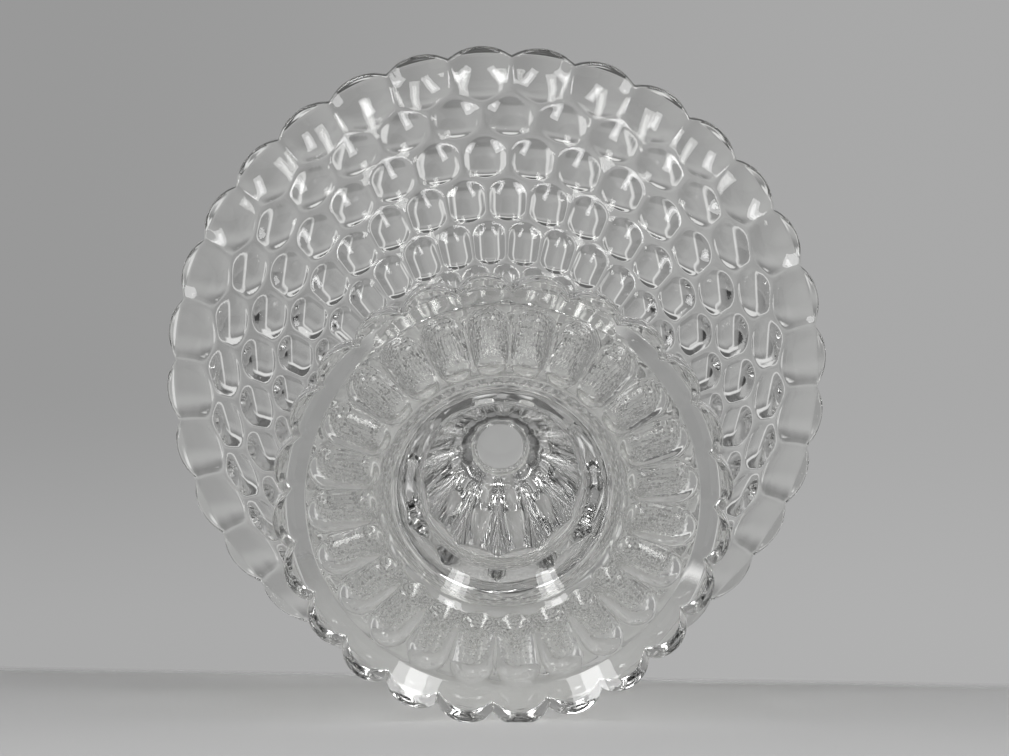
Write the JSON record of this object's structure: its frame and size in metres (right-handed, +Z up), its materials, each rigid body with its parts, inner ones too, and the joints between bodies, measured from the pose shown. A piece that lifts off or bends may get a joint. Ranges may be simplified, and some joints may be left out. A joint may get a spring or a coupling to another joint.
{
  "type": "footed glass bowl",
  "caption": "Clear pressed-glass bowl with a lobed rim and rows of thumbprints, on a hollow pedestal with a fluted stem and a lobed foot.",
  "frame": {"origin": "middle of the standing rim of the foot, at the height of the table", "axes": "+Z up along the axis of the bowl and its pedestal; +X through a notch of the foot and a notch of the rim"},
  "size_m": [0.239, 0.239, 0.1898],
  "materials": {
    "clear_glass": "fire-polished pressed glass"
  },
  "bodies": {
    "root": {"bowl": "clear_glass", "joining_wafer": "clear_glass", "pedestal": "clear_glass"}
  },
  "joints": []
}
